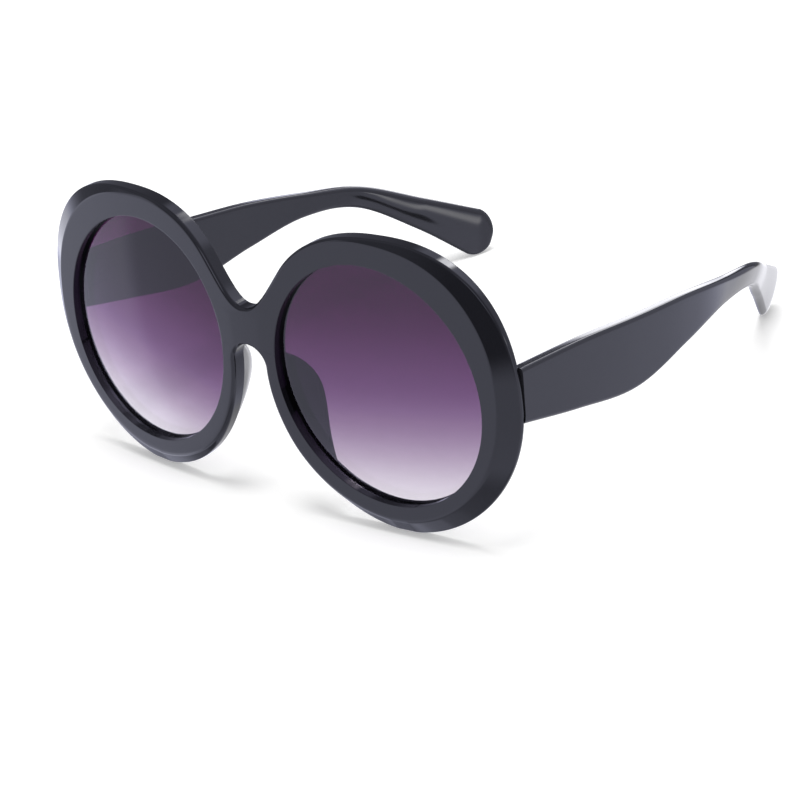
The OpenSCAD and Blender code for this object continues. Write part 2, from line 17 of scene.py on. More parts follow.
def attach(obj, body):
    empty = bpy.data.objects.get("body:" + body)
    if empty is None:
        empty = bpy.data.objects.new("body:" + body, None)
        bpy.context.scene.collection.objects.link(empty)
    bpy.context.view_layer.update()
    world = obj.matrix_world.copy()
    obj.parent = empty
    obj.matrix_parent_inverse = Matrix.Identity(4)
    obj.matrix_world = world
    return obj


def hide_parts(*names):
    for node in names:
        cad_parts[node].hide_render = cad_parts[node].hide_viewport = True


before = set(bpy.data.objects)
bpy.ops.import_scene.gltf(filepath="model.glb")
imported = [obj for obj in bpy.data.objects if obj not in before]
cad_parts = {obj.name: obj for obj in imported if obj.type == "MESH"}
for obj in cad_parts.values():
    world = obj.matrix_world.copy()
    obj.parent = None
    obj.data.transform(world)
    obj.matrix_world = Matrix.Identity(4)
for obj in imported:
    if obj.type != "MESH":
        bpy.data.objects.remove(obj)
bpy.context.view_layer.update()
print("CAD nodes:", len(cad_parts))

# %% [markdown]
# ## The outline of the front
#
# The front of real glasses is one plate of plastic: two rims, and between them a bridge that rests on the
# nose. Its outline could be drawn as a Bezier curve by eye. Here it is worked out from the sizes of the CAD
# source, in millimetres, so that the smooth surface lies exactly where the solid is. Each rim is a squarish
# oval, fuller above than below, and slanted a little towards the nose. The saddle on top of the bridge is
# one smooth curve that leaves the rim along its tangent and comes in level at the middle, and a circle
# makes the arch below.

# %% Sizes of a rim
RIM_W = 66.9
RIM_H = 73.1
NOSE_GAP = 10.0
REST_CUT = 0.15  # cut off the foot of a rim, so that the glasses stand on a flat
UPPER_FULLNESS = 2.4  # the power of the oval: 2 is an ellipse, and more is squarer
LOWER_FULLNESS = 1.88
RIM_SLANT = math.tan(math.radians(1))
HALF_W, HALF_H, ARCH_R = RIM_W / 2, RIM_H / 2, NOSE_GAP / 2
RIM_X, MID_Z = HALF_W + ARCH_R, HALF_H - REST_CUT
print("middle of a rim:", RIM_X, "across and", MID_Z, "up")


# %% Line of a rim
def rim_outline(turn):
    """Squarish oval: x and z are powers of the cosine and sine of the turn in degrees, times the half
    sizes. Its foot is flat, and x shifts towards the nose in proportion to the height above the middle."""
    c, s = np.cos(np.radians(turn)), np.sin(np.radians(turn))
    power = 2 / np.where(s >= 0, UPPER_FULLNESS, LOWER_FULLNESS)
    x = RIM_X + HALF_W * np.sign(c) * np.abs(c) ** power
    z = np.maximum(MID_Z + HALF_H * np.sign(s) * np.abs(s) ** power, 0)
    return np.stack([x - RIM_SLANT * (z - MID_Z), z], -1)


def spread_evenly(line, step):
    """The same line with points at even distances: the length so far is measured at each old point, and the
    new points are read off at even lengths, about one step apart."""
    along = np.concatenate([[0], np.cumsum(np.linalg.norm(np.diff(line, axis=0), axis=1))])
    wanted = np.linspace(0, along[-1], int(along[-1] / step) + 1)
    return np.stack([np.interp(wanted, along, line[:, k]) for k in range(line.shape[1])], -1)


RIM_STEP = 0.45
NOSE_TURN, SADDLE_TURN = 180, 140  # where the line starts beside the nose, and where the saddle takes over
FINE_POINTS = 6000  # on a line before its points are spread evenly
rim_turns = np.linspace(NOSE_TURN, 360 + SADDLE_TURN, FINE_POINTS)
rim_line = spread_evenly(rim_outline(rim_turns), RIM_STEP)
print("points along a rim:", len(rim_line))


# %% Saddle of the bridge
def blend_points(a, b, share):
    """A place on the way from a to b: a plus the share times their difference, for points or numbers."""
    return a + (b - a) * share


def bezier(a, b, c, d, count):
    """Points on the cubic curve from a to d that leaves towards b and arrives from c. For a share s of the
    way, a weighs (1 - s) cubed, b 3 s (1 - s) squared, c 3 s squared (1 - s), and d s cubed."""
    s = np.linspace(0, 1, count)[:, None]
    return a * (1 - s) ** 3 + b * 3 * s * (1 - s) ** 2 + c * 3 * s**2 * (1 - s) + d * s**3


BRIDGE_H = 9.3
SADDLE_SHARE = 0.55  # how far the curve runs on along the rim's tangent
SADDLE_ROUND = 4.0  # how far it runs level at the middle
TURN_STEP = 0.25  # degrees to each side, between which the tangent is measured
BRIDGE_LOW = MID_Z + ARCH_R
BRIDGE_TOP = BRIDGE_LOW + BRIDGE_H
before, saddle_start, after = rim_outline(SADDLE_TURN + TURN_STEP * np.array([-1, 0, 1]))
saddle_bend = saddle_start + (after - before) * (BRIDGE_TOP - saddle_start[1]) / (after - before)[1]
saddle_stop = np.array([0, BRIDGE_TOP])
saddle_leave = blend_points(saddle_start, saddle_bend, SADDLE_SHARE)
saddle_arrive = saddle_stop + [SADDLE_ROUND, 0]
saddle_curve = bezier(saddle_start, saddle_leave, saddle_arrive, saddle_stop, FINE_POINTS // 3)
saddle_line = spread_evenly(saddle_curve, RIM_STEP)[1:]
saddle_line[-1, 0] = 0
print("points along half the saddle:", len(saddle_line))

# %% Middle of the bridge, arch, and the outline of one half
SEAM_MARGIN, SEAM_POINTS, ARCH_POINTS = 1.3, 12, 24
seam_z = np.linspace(BRIDGE_TOP - SEAM_MARGIN, BRIDGE_LOW + SEAM_MARGIN, SEAM_POINTS)
seam_line = np.stack([np.zeros_like(seam_z), seam_z], -1)
arch_turn = np.radians(np.linspace(90, 0, ARCH_POINTS)[:-1])
arch_line = np.array([0, MID_Z]) + ARCH_R * np.stack([np.cos(arch_turn), np.sin(arch_turn)], -1)
arch_line[0, 0] = 0

# The outline runs down and round the rim, over the saddle, down the middle of the bridge and round the arch
outline = np.concatenate([rim_line, saddle_line, seam_line, arch_line])
stations = len(outline)
seam_first = len(rim_line) + len(saddle_line)
seam_top, seam_foot = seam_first - 1, seam_first + len(seam_line)
on_seam = np.zeros(stations, bool)
on_seam[seam_first:seam_foot] = True
print("stations round one half:", stations)

# %% Which way is outwards at each station
along = np.roll(outline, -1, 0) - np.roll(outline, 1, 0)
outward = np.stack([along[:, 1], -along[:, 0]], -1)
outward /= np.linalg.norm(outward, axis=1, keepdims=True)
outward[on_seam] = [-1, 0]
outward[seam_top] = [0, 1]
outward[seam_foot] = [0, -1]
print("the first station faces:", outward[0])

# %% [markdown]
# ## The moulded front
#
# On the real piece the two rims wrap back a little from a flat bridge, each lens snaps into a groove, and a
# wide bevel runs round the face, broadest towards the temples. The plate could be extruded, cut with
# Boolean modifiers and finished with Bevel, which leaves long thin faces and uneven shading. Here each
# station of the outline gets one section instead: from the lip of the opening through the lens's groove,
# round the back, up the outer wall and over the bevel to the flat ring face. Every corner of it is a short
# curve, because a tumbled frame has no sharp edge, and each rounding draws a thin line of light.

# %% Depth of the front's face
FRONT_T = 4.0
WRAP_SLOPE = math.tan(math.radians(5.6))  # how steeply the rims run back towards the temples
LEAN_SLOPE = math.tan(math.radians(0.96))  # how the front leans back with the height
FLAT_END, WRAP_START = 0.4 * ARCH_R, 0.95 * ARCH_R


def face_depth(x):
    """Flat across the middle of the bridge, then a parabola, then straight at the slope of the wrap."""
    x = np.abs(x)
    curve = np.maximum(x - FLAT_END, 0) ** 2 / 2 / (WRAP_START - FLAT_END)
    return WRAP_SLOPE * np.where(x < WRAP_START, curve, x - (FLAT_END + WRAP_START) / 2)


def place(flat_points, depth):
    """Points of the x and z plane laid on the wrapped, leaning face, and then moved back by a depth."""
    x, z = flat_points[..., 0], flat_points[..., 1]
    return np.stack([x, face_depth(x) + LEAN_SLOPE * z + depth, z], -1)


print("the face falls back by", float(face_depth(RIM_X + HALF_W)), "at the temples")

# %% Opening of a rim
OPENING_LONG = 59.6
OPENING_SHORT = 54.4
OPENING_LEAN = 24.0  # degrees the long axis leans, its top towards the nose
RIM_OFFSET, OPENING_RISE = 2.5, 0.65  # from the rim's middle, towards the nose and up
EYE = np.array([RIM_X - RIM_OFFSET, MID_Z + OPENING_RISE])


def opening_radius(angle):
    """Radius of a leaning oval in the direction of an angle in radians: half the product of its two widths,
    over the hypotenuse of the short one times the cosine and the long one times the sine of the angle from
    its long axis."""
    b = angle - math.radians(90 + OPENING_LEAN)
    across, length = OPENING_SHORT * np.cos(b), OPENING_LONG * np.sin(b)
    return OPENING_LONG * OPENING_SHORT / 2 / np.hypot(across, length)


station_angle = np.arctan2(outline[:, 1] - EYE[1], outline[:, 0] - EYE[0])
toward = np.stack([np.cos(station_angle), np.sin(station_angle)], -1)
opening = opening_radius(station_angle)
print("middle of an opening:", EYE, "radius from", opening.min(), "to", opening.max())


# %% Bevel of a rim
def ease(v, low, high):
    """Smooth step: 0 below low, 1 above high, and 3s^2 - 2s^3 for a share s of the way between."""
    s = np.clip((v - low) / (high - low), 0, 1)
    return s * s * (3 - 2 * s)


BEVEL_MIN, BEVEL_MAX = 0.6, 4.1
BEVEL_SHALLOW, BEVEL_DEEP = 0.3, 2.6
WIDEST_BELOW, DEEPEST_BELOW = math.radians(20), math.radians(42)  # under the level, on the temple side
WIDTH_GROWS, FALL_GROWS = (0.2, 0.8), (0.1, 1.0)  # the shares between which each grows


def bevel_sizes(angle):
    """Width and fall of the bevel. Half of one plus the cosine of the angle from the greatest place is a
    share, and its smooth step is the way from the least to the most."""
    width_share = (1 + np.cos(angle + WIDEST_BELOW)) / 2
    fall_share = (1 + np.cos(angle + DEEPEST_BELOW)) / 2
    width = blend_points(BEVEL_MIN, BEVEL_MAX, ease(width_share, *WIDTH_GROWS))
    fall = blend_points(BEVEL_SHALLOW, BEVEL_DEEP, ease(fall_share, *FALL_GROWS))
    return width, fall


bevel_w, bevel_fall = bevel_sizes(station_angle)
bevel_w = np.where(on_seam, 0, bevel_w)
print("the bevel is up to", bevel_w.max(), "wide and", bevel_fall.max(), "deep")

# %% Groove of the lens
LENS_T, LENS_INSET, LENS_GAP = 1.6, 1.6, 0.05  # thickness, depth behind the face, and clearance
GROOVE_D = 0.7


def ring(radius_extra, depth):
    """Points round the opening: the direction of each station times the opening's radius there plus an
    extra, laid on the face and moved back by a depth."""
    return place(EYE + toward * (opening + radius_extra)[:, None], depth)


lip_front, lip_back = ring(0, 0), ring(0, FRONT_T)
groove_front = LENS_INSET - LENS_GAP
groove_back = LENS_INSET + LENS_T + LENS_GAP
groove = [
    ring(0, groove_front),
    ring(GROOVE_D, groove_front),
    ring(GROOVE_D, groove_back),
    ring(0, groove_back),
]
print("the groove is", groove_back - groove_front, "wide and", GROOVE_D, "deep")

# %% Straight stretches of the section
EDGE = 0.35  # reach of the back edge's rounding, also added to the crease's depth
FACE_SHARES = (0.42, 0.55, 0.68, 0.81, 0.94)  # places across the ring face, from the bevel to the lip
BACK_SHARES = (0.06, 0.2, 0.4, 0.6, 0.78, 0.92)  # places across the back, from the lip to the outer wall
wall_back = place(outline, FRONT_T)
crease = place(outline, np.where(on_seam, 0, EDGE + bevel_fall))
bevel_line = outline - outward * bevel_w[:, None]
lip_line = EYE + toward * opening[:, None]
face_edge = place(bevel_line, 0)
face_lines = [place(blend_points(bevel_line, lip_line, share), 0) for share in FACE_SHARES]
back_lines = [place(blend_points(lip_line, outline, share), FRONT_T) for share in BACK_SHARES]
print("lines across the face and the back:", len(face_lines), len(back_lines))

# %% Rounded corners
ROUND_LIMIT = 0.45  # a rounding takes no more than this share of a straight stretch
TINY = 1e-9


def corner_curve(before, corner, after, reach, count):
    """A corner rounded by a parabola that starts and ends the reach away from it, one row per step. For a
    share s, the start weighs (1 - s) squared, the corner 2 s (1 - s), and the end s squared."""
    back, ahead = before - corner, after - corner
    back_len = np.linalg.norm(back, axis=-1, keepdims=True)
    ahead_len = np.linalg.norm(ahead, axis=-1, keepdims=True)
    near = np.minimum(reach, ROUND_LIMIT * np.minimum(back_len, ahead_len)) / np.maximum(back_len, TINY)
    far = near * back_len / np.maximum(ahead_len, TINY)
    start, stop = corner + back * near, corner + ahead * far
    shares = np.linspace(0, 1, count)
    return [start * (1 - s) ** 2 + corner * 2 * s * (1 - s) + stop * s**2 for s in shares]


# Low on the rims the bevel's inner edge is polished rounder
LIP_ROUND, LEDGE_ROUND, BACK_ROUND, CREASE_ROUND = 0.22, 0.3, EDGE / 2, 0.5
FACE_ROUND, FACE_ROUND_MORE, LOW_FROM, LOW_TO = 0.32, 1.9, -0.1, 0.5
face_round = FACE_ROUND + FACE_ROUND_MORE * ease(-np.sin(station_angle), LOW_FROM, LOW_TO)[:, None]
print("the bevel's inner edge is rounded by", face_round.min(), "to", face_round.max())

# %% Rows of the whole section
LIP_ROWS, LEDGE_ROWS, BACK_ROWS, WALL_ROWS, CREASE_ROWS, FACE_ROWS = 6, 6, 5, 6, 9, 9
rows = corner_curve(face_lines[-1], lip_front, groove[0], LIP_ROUND, LIP_ROWS)
rows += groove[:3]
rows += corner_curve(groove[2], groove[3], lip_back, LEDGE_ROUND, LEDGE_ROWS)
rows += corner_curve(groove[3], lip_back, back_lines[0], BACK_ROUND, BACK_ROWS)
rows += back_lines
outer_first = len(rows)
for start, corner, stop, reach, count in [
    (back_lines[-1], wall_back, crease, EDGE, WALL_ROWS),
    (wall_back, crease, face_edge, CREASE_ROUND, CREASE_ROWS),
    (crease, face_edge, face_lines[0], face_round, FACE_ROWS),
]:
    for curve in corner_curve(start, corner, stop, reach, count):
        curve[[seam_top, seam_foot], 0] = 0
        rows.append(np.where(on_seam[:, None], corner, curve))
outer_last = len(rows) - 1
rows += face_lines
section_count = len(rows)
half = np.stack(rows, 1)
print("points in one section:", section_count)

# %% [markdown]
# ### From a grid to a mesh
#
# A surface here is a grid: rows of points along one direction of the piece, and columns along the other.
# Such a grid could be joined by hand or by a loop over its points. Here two helpers do it with whole
# arrays, one for the faces and one for the mesh, because that is quick and fits every piece.

# %% Faces of a grid
MM = 0.001
MIDDLE_Y = 79.3134  # how far behind the plane of these sizes the frame has its origin


def grid_faces(rows, columns, closed_rows=False, closed_columns=False):
    """Four-sided faces between neighbours in a grid. A point's number is its row times the number of
    columns, plus its column."""
    i = np.arange(rows if closed_rows else rows - 1)[:, None]
    j = np.arange(columns if closed_columns else columns - 1)[None, :]
    i2, j2 = (i + 1) % rows, (j + 1) % columns
    corners = [i * columns + j, i * columns + j2, i2 * columns + j2, i2 * columns + j]
    return np.stack([np.broadcast_to(c, (i.size, j.size)) for c in corners], -1).reshape(-1, 4)


print("faces in a closed grid of 3 by 4 points:", len(grid_faces(3, 4, True, True)))


# %% A mesh object from arrays
def make_piece(name, points, faces, side="left", crease_angle=40.0, weighted=True):
    """A mesh object at the origin, from points in millimetres and arrays of faces with three or four
    corners. A right piece is the left one with x times minus one, and with its faces turned round, because
    a mirror turns a shape inside out."""
    points = np.asarray(points, float).reshape(-1, 3) * MM
    points[:, 1] -= MIDDLE_Y * MM
    if side == "right":
        points, faces = points * [-1, 1, 1], [group[:, ::-1] for group in faces]
    used, flat = np.unique(np.concatenate([group.ravel() for group in faces]), return_inverse=True)
    totals = np.concatenate([np.full(len(group), group.shape[1]) for group in faces])
    mesh = bpy.data.meshes.new(name)
    mesh.vertices.add(len(used))
    mesh.vertices.foreach_set("co", points[used].ravel())
    mesh.loops.add(len(flat))
    mesh.loops.foreach_set("vertex_index", flat.ravel())
    mesh.polygons.add(len(totals))
    mesh.polygons.foreach_set("loop_start", np.concatenate([[0], np.cumsum(totals)[:-1]]))
    mesh.update(calc_edges=True)
    mesh.validate()
    mesh.shade_smooth()
    mesh.set_sharp_from_angle(angle=math.radians(crease_angle))
    piece = bpy.data.objects.new(name, mesh)
    bpy.context.scene.collection.objects.link(piece)
    if weighted:
        modifier = piece.modifiers.new("face weights", "WEIGHTED_NORMAL")
        modifier.keep_sharp = True
    print(name, len(mesh.vertices), "points", len(mesh.polygons), "faces")
    return piece


# %% Both halves of the front, joined along the middle of the bridge
loops = grid_faces(stations, section_count, closed_rows=True, closed_columns=True)
row_of, column_of = loops[:, 0] // section_count, loops[:, 0] % section_count

# No wall is wanted inside the bridge, where the halves meet. Turned round, the faces point outwards.
beside_seam = (row_of >= seam_top) & (row_of < seam_foot)
inside = beside_seam & (column_of >= outer_first) & (column_of < outer_last)
half_faces = loops[~inside][:, ::-1]

# The mirrored half shares the points that lie on the middle, and its faces are turned round
left_points = half.reshape(-1, 3)
right_points = left_points * [-1, 1, 1]
own_number = np.arange(len(left_points))
on_middle = np.abs(left_points[:, 0]) < TINY
mirror_number = np.where(on_middle, own_number, own_number + len(left_points))
front_faces = np.concatenate([half_faces, mirror_number[half_faces][:, ::-1]])
front = make_piece("front_moulding", np.concatenate([left_points, right_points]), [front_faces])

# %% [markdown]
# ## Lenses
#
# A real lens is a shallow dome of even thickness, cut to the shape of its opening and snapped into the
# groove. It could be a sphere cut to shape with a Boolean modifier. Here rings of the opening's shape
# run from the edge to the middle, once for the front skin and once for the back, because they then follow
# the rim exactly.

# %% Lens surfaces
LENS_DOME = 2.2
DOME_MARGIN = 0.25  # the flat edge that sits in the groove reaches this far into the opening


def fan_faces(edge, middle):
    """Triangles from a closed ring of point numbers to one middle point."""
    return np.stack([edge, np.roll(edge, -1), np.full(len(edge), middle)], -1)


def dome_depth(share):
    """Depth behind the face, at a share of the radius: the dome rises with one minus the share squared."""
    return LENS_INSET - LENS_DOME * (1 - share * share)


def lens_piece(side, turns=288, rings=22):
    """Rings of the opening's shape: the middle plus each direction times the radius times a share."""
    angle = np.linspace(0, 2 * math.pi, turns, endpoint=False)
    direction = np.stack([np.cos(angle), np.sin(angle)], -1)
    radius = opening_radius(angle)
    shares = np.linspace(1, 0, rings + 1)[:-1]
    skin = [place(EYE + direction * (radius + GROOVE_D - LENS_GAP)[:, None], LENS_INSET)]
    skin += [place(EYE + direction * ((radius - DOME_MARGIN) * s)[:, None], dome_depth(s)) for s in shares]
    skin = np.concatenate(skin + [place(EYE[None], dome_depth(0))])
    count, layers = len(skin), rings + 1
    points = np.concatenate([skin, skin + [0, LENS_T, 0]])

    # The back skin is the front one turned round, and a band joins their edges
    quads = grid_faces(layers, turns, closed_columns=True)
    cap = fan_faces(np.arange(turns) + (layers - 1) * turns, count - 1)
    here = np.arange(turns)
    ahead = np.roll(here, -1)
    band = np.stack([ahead, here, here + count, ahead + count], -1)
    faces4 = np.concatenate([quads, quads[:, ::-1] + count, band])
    faces3 = np.concatenate([cap, cap[:, ::-1] + count])
    return make_piece(f"lens_glass_{side}", points, [faces4, faces3], side, crease_angle=50, weighted=False)


lenses = {side: lens_piece(side) for side in ("left", "right")}

# %% [markdown]
# ## Nose pads
#
# On glasses like these the pads are bonded to the back of the rims: flared fins that stand out quickly
# below their upper end and fade towards their lower end. A pad could be sculpted, or bent from a box with a
# lattice. Here a smooth curve through nine places gives its section, and the places move along the rim,
# because the pad then sits on the rim along its whole length.

# %% Sizes of the pads
PAD_TOP = MID_Z + 3.3
PAD_LEN = 34.0
PAD_H = 7.4  # how far it stands out
PAD_PEAK = 0.7  # a power: under 1, the pad stands out most above its middle
PAD_FLARE = 25.0
PAD_CREST = 2.0
PAD_ENDS = (0.02, 0.98)
WALL_MARGIN, OPENING_MARGIN = EDGE + 0.2, 0.4  # what the pad's foot leaves free of the rim's back

# Places over the crest: shares of the lean and the crest across, and of the stand and the crest in height
PAD_PLACES = [
    (0, 0, 0, 0),
    (0.4, 0, 0.5, 0),
    (0.86, 0, 1, -0.9),
    (1, 0.35, 1, -0.2),
    (1, 1, 1, 0),
    (1, 1.7, 1, -0.35),
    (1, 2, 1, -1.1),
]
BACK_SHARE, BACK_HEIGHT = 0.45, 0.4  # the place between the crest and the foot beside the opening
print("a pad runs from", PAD_TOP, "down to", PAD_TOP - PAD_LEN)


# %% Curves through places, and tubes
def smooth_through(knots, u):
    """Catmull-Rom curve: each span bends so that it leaves a knot in the direction of the knot's
    neighbours. It is half of a cubic in the share s of the span, whose factors are sums of the four knots
    round it."""
    knots = np.concatenate([[2 * knots[0] - knots[1]], knots, [2 * knots[-1] - knots[-2]]])
    k = np.clip(np.floor(u).astype(int), 0, len(knots) - 4)
    s = (u - k).reshape((-1,) + (1,) * (knots.ndim - 1))
    a, b, c, d = (knots[k + n] for n in range(4))
    return (2 * b + (c - a) * s + (2 * a - 5 * b + 4 * c - d) * s**2 + (3 * b - a - 3 * c + d) * s**3) / 2


def close_tube(grid):
    """A closed tube from a grid of rings: bands between rings, and at each end a fan to its middle."""
    rows, columns = grid.shape[:2]
    ring_numbers, count = np.arange(columns), rows * columns
    points = np.concatenate([grid.reshape(-1, 3), grid[[0, -1]].mean(1)])
    bands = grid_faces(rows, columns, closed_columns=True)
    first = fan_faces(ring_numbers[::-1], count)
    last = fan_faces(ring_numbers + count - columns, count + 1)
    return points, [bands, np.concatenate([first, last])]


def rim_inner_edge(z):
    """Where the rim's outline lies on the nose side: the oval's power law solved for x at a height."""
    power = np.where(z >= MID_Z, UPPER_FULLNESS, LOWER_FULLNESS)
    half_width = HALF_W * (1 - (np.abs(z - MID_Z) / HALF_H) ** power) ** (1 / power)
    return RIM_X - RIM_SLANT * (z - MID_Z) - half_width


print("the rim's inner edge at a pad's top:", float(rim_inner_edge(PAD_TOP)))


# %% Pad surfaces
def pad_piece(side, rings=72, per_span=5):
    """Sections along the pad's height. The stand is the pad's height times the sine of pi times a power of
    the share along it, and the lean is the stand times the tangent of the flare."""
    s = np.linspace(*PAD_ENDS, rings)
    z = PAD_TOP - PAD_LEN * s
    base = np.stack([rim_inner_edge(z), z], -1)
    inward = EYE - base
    reach = np.linalg.norm(inward, axis=1)
    inward /= reach[:, None]
    wall = reach - opening_radius(np.arctan2(-inward[:, 1], -inward[:, 0]))
    stand = PAD_H * np.sin(math.pi * s**PAD_PEAK)
    lean = math.tan(math.radians(PAD_FLARE)) * stand
    crest = PAD_CREST / 2 * np.minimum(1, stand / PAD_CREST)
    near = base + inward * WALL_MARGIN
    far = base + inward * (wall - OPENING_MARGIN)[:, None]
    tail = near + inward * (lean + crest * 2)[:, None]
    knots = []
    for lean_share, crest_share, stand_share, crest_height in PAD_PLACES:
        across = lean * lean_share + crest * crest_share
        height = stand * stand_share + crest * crest_height
        knots.append(place(near + inward * across[:, None], FRONT_T + height))
    knots.append(place(blend_points(far, tail, BACK_SHARE), FRONT_T + stand * BACK_HEIGHT))
    knots.append(place(far, FRONT_T))
    u = np.linspace(0, len(knots) - 1, (len(knots) - 1) * per_span + 1)
    points, faces = close_tube(smooth_through(np.stack(knots), u).transpose(1, 0, 2))
    return make_piece(f"nose_pad_moulding_{side}", points, faces, side)


pads = {side: pad_piece(side) for side in ("left", "right")}

# %% [markdown]
# ## Temples
#
# A real temple is a broad strip of the same plastic that narrows over the ear and ends in a rounded paddle.
# It could be a curve object with a bevel profile, but the profile would have to change along it. Here one
# smooth line gives the middle and the depth of every section, which is a rounded bar whose sides swell a
# little towards the tip. The first section is cut to the back of the rim, and the last ones close the tip.

# %% Line of a temple
TEMPLE_X, TEMPLE_Z = 70.5, 39.7  # the middle of the butt
BUTT_GAP = 0.2  # between the butt and the back of the rim
TEMPLE_REACH = 139.8  # back to the start of the tip's round end
TEMPLE_CURL = 21.0  # how far the tip comes inwards
TEMPLE_DEEP, TIP_DEEP = 17.8, 13.6

# At eight places from the butt to the tip: shares of the reach, the fall to the table and the curl
REACH_SHARES = np.array([0, 0.16, 0.318, 0.475, 0.626, 0.768, 0.889, 1])
FALL_SHARES = np.array([0, 0.113, 0.226, 0.243, 0.281, 0.399, 0.691, 1])
CURL_SHARES = np.array([0, -0.02, -0.017, 0.024, 0.119, 0.3, 0.669, 1])

# The depth at the same places: six shares of the temple's and two of the tip's
DEEP_SHARES = np.array([0.755, 0.938, 1, 0.716, 0.39, 0.344])
TIP_SHARES = np.array([0.66, 1])
depths = np.append(TEMPLE_DEEP * DEEP_SHARES, TIP_DEEP * TIP_SHARES)
butt_y = place(np.array([TEMPLE_X, TEMPLE_Z]), FRONT_T + BUTT_GAP)[1]
temple_knots = np.stack([
    TEMPLE_X - TEMPLE_CURL * CURL_SHARES,
    butt_y + TEMPLE_REACH * REACH_SHARES,
    blend_points(TEMPLE_Z, TIP_DEEP / 2, FALL_SHARES),
    depths / 2,
], -1)
print("a temple's line ends at", temple_knots[-1, :3])

# %% Section of a temple
TEMPLE_T, TEMPLE_EDGE = 3.2, 1.1
CORNER_LIMIT = 0.9  # a corner takes no more than this share of half a side


def rounded_bar(half_t, half_d, radius, crown, per_corner=8, per_side=9):
    """A rectangle with quarter circles at its corners, as places across the thickness and the depth. Its
    two long sides lose a share of the thickness: the crown times the square of the share of the depth."""
    r = np.minimum(radius, CORNER_LIMIT * np.minimum(half_t, half_d))
    quarter = np.radians(np.linspace(0, 90, per_corner))
    places = []
    for k, (sx, sz) in enumerate([(1, 1), (-1, 1), (-1, -1), (1, -1)]):
        turn = quarter + k * math.pi / 2
        places.append(np.stack([
            sx * (half_t - r)[:, None] + r[:, None] * np.cos(turn),
            sz * (half_d - r)[:, None] + r[:, None] * np.sin(turn),
        ], -1))
        if sx * sz < 0:
            height = (half_d - r)[:, None] * sz * np.linspace(1, -1, per_side + 2)[1:-1]
            places.append(np.stack([sx * half_t[:, None] + 0 * height, height], -1))
    bar = np.concatenate(places, 1)
    bar[..., 0] *= 1 - crown[:, None] * (bar[..., 1] / half_d[:, None]) ** 2
    return bar


# The edges soften and the sides swell between two places of the line
SOFT_FROM, SOFT_TO = 3.6, 5.2
SOFT_EDGE, SOFT_CROWN = 0.5, 0.065
widest_edge = min(TEMPLE_EDGE * (1 + SOFT_EDGE), CORNER_LIMIT * TEMPLE_T / 2)
print("a temple's edges are rounded by", TEMPLE_EDGE, "to", widest_edge)

# %% Temple surfaces
LOOK = 0.02  # how far ahead and behind, in places, the line's direction is measured
TIP_THINNING, TIP_END_POWER, TIP_LEAST = 0.45, 14, 0.02


def unit(v):
    """Each row divided by its length."""
    return v / np.linalg.norm(v, axis=1, keepdims=True)


def temple_piece(side, steps=190, tip_rings=26):
    """Sections across the line: its middle, plus the outward way times the bar's thickness, plus the upward
    way times its depth. Round the tip the depth follows a cosine and the way along it a sine."""
    spans = len(temple_knots) - 1
    u = np.linspace(0, spans, steps + 1)
    line = smooth_through(temple_knots, u)
    ahead = smooth_through(temple_knots, np.minimum(u + LOOK, spans))[:, :3]
    behind = smooth_through(temple_knots, np.maximum(u - LOOK, 0))[:, :3]
    way = unit(ahead - behind)

    # The tip goes straight on from the line. It thins with the square of the sine, and closes with the root
    # of one minus a high power of it.
    turn = np.radians(90 * np.linspace(0, 1, tip_rings + 1)[1:])
    middle = np.concatenate([line[:, :3], line[-1, :3] + way[-1] * (TIP_DEEP / 2 * np.sin(turn))[:, None]])
    way = np.concatenate([way, np.repeat(way[-1:], tip_rings, 0)])
    half_d = np.concatenate([line[:, 3], np.maximum(TIP_DEEP / 2 * np.cos(turn), TIP_LEAST)])
    closing = np.maximum(1 - np.sin(turn) ** TIP_END_POWER, TIP_LEAST) ** 0.5
    thinning = (1 - TIP_THINNING * np.sin(turn) ** 2) * closing
    half_t = TEMPLE_T / 2 * np.concatenate([np.ones(steps + 1), thinning])

    # Across the line: one direction in the upright plane from front to back, and the other level
    up = unit(np.stack([0 * way[:, 0], -way[:, 2], way[:, 1]], -1))
    out = unit(np.stack([way[:, 1], -way[:, 0], 0 * way[:, 0]], -1))
    soft = ease(np.append(u, np.full(tip_rings, spans)), SOFT_FROM, SOFT_TO)
    bar = rounded_bar(half_t, half_d, TEMPLE_EDGE * (1 + SOFT_EDGE * soft), SOFT_CROWN * half_d * soft)
    grid = middle[:, None] + out[:, None] * bar[..., :1] + up[:, None] * bar[..., 1:]
    grid[0, :, 1] = place(grid[0][:, [0, 2]], FRONT_T + BUTT_GAP)[:, 1]
    points, faces = close_tube(grid)

    # Its rings turn the other way from a pad's, so the faces are turned round to point outwards
    return make_piece(f"temple_moulding_{side}", points, [group[:, ::-1] for group in faces], side)


temples = {side: temple_piece(side) for side in ("left", "right")}

# %% [markdown]
# ## Finishes
#
# A finish is a node tree in Blender. It could be built by hand in the Shader Editor, or by
# lists of nodes and links. Here a class wraps a socket, so that a pattern reads as plain
# arithmetic, and one method adds any other node.


# %% Shader arithmetic
class Signal:
    """A socket that carries numbers. Its operators add the Math nodes that work out an expression."""

    def __init__(self, finish, socket):
        self.finish, self.socket = finish, socket

    def __add__(self, other):
        return self.finish.maths("ADD", self, other)

    def __sub__(self, other):
        return self.finish.maths("SUBTRACT", self, other)

    def __rsub__(self, other):
        return self.finish.maths("SUBTRACT", other, self)

    def __mul__(self, other):
        return self.finish.maths("MULTIPLY", self, other)

    def __truediv__(self, other):
        return self.finish.maths("DIVIDE", self, other)

    def __rtruediv__(self, other):
        return self.finish.maths("DIVIDE", other, self)

    def __pow__(self, other):
        return self.finish.maths("POWER", self, other)

    def __rpow__(self, other):
        return self.finish.maths("POWER", other, self)

    __radd__, __rmul__ = __add__, __mul__


print("a signal takes + - * / and ** as a number does")


